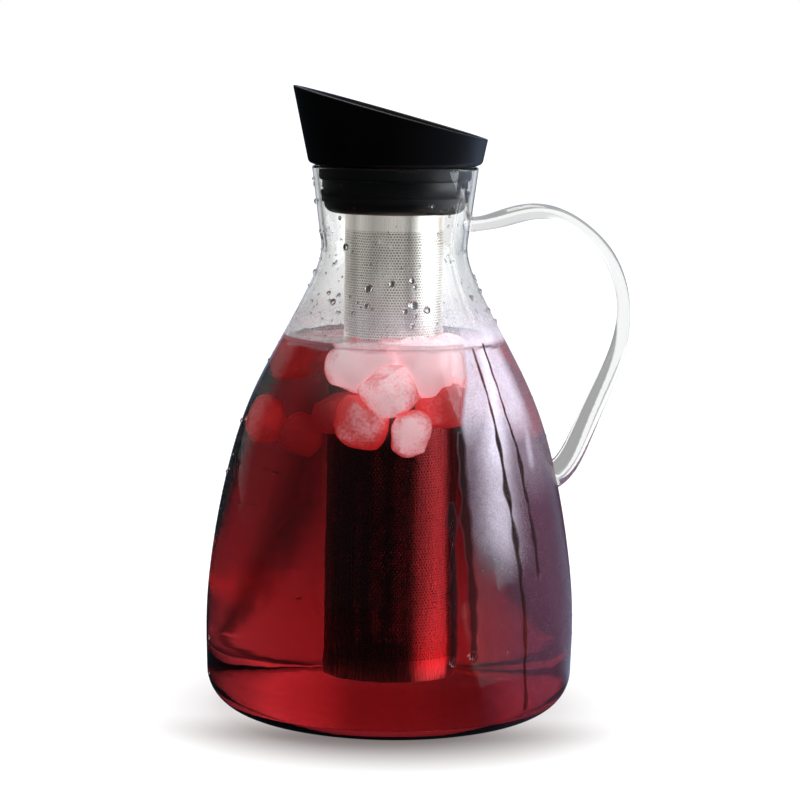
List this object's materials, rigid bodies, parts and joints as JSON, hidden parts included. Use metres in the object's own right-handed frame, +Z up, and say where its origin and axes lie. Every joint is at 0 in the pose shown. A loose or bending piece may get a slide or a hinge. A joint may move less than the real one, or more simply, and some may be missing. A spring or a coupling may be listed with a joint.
{
  "type": "iced tea maker",
  "caption": "Tall glass jug with a flared waist and glass loop handle, a slanted black pouring lid with a steel flap, and a perforated steel infuser hanging inside.",
  "frame": {"origin": "middle of the base, on the surface that the jug stands on", "axes": "+Z up along the jug's axis, +X towards the handle, -X towards the side that the lid pours from"},
  "size_m": [0.1687, 0.1482, 0.2487],
  "materials": {
    "glass": "clear, polished",
    "black_silicone": "matt",
    "black_plastic": "fine matt",
    "steel": "satin, fine perforation on the tube"
  },
  "bodies": {
    "jug": {"glass_jug": "glass", "glass_handle": "glass"},
    "lid": {"pour_collar": "black_silicone", "lid_core": "black_plastic", "rim_seal": "black_silicone", "neck_seal": "black_silicone", "socket_washer": "black_silicone", "hinge_pin": "steel"},
    "flap": {"flap_pan": "steel", "flap_pad": "black_silicone", "flap_rivet": "steel"},
    "infuser": {"infuser_collar": "black_plastic", "infuser_tube": "steel", "infuser_cap": "steel"}
  },
  "joints": [
    {"name": "lid_lift", "type": "slide", "parent": "jug", "child": "lid", "axis": [0, 0, 1], "range_m": [0, 0.22]},
    {"name": "flap_tilt", "type": "hinge", "parent": "lid", "child": "flap", "pos_m": [0.0215, 0, 0.22556], "axis": [0, 1, 0], "range_deg": [0, 75]},
    {"name": "infuser_twist", "type": "hinge", "parent": "lid", "child": "infuser", "pos_m": [0, 0, 0.1], "axis": [0, 0, 1], "range_deg": [0, 40]}
  ]
}
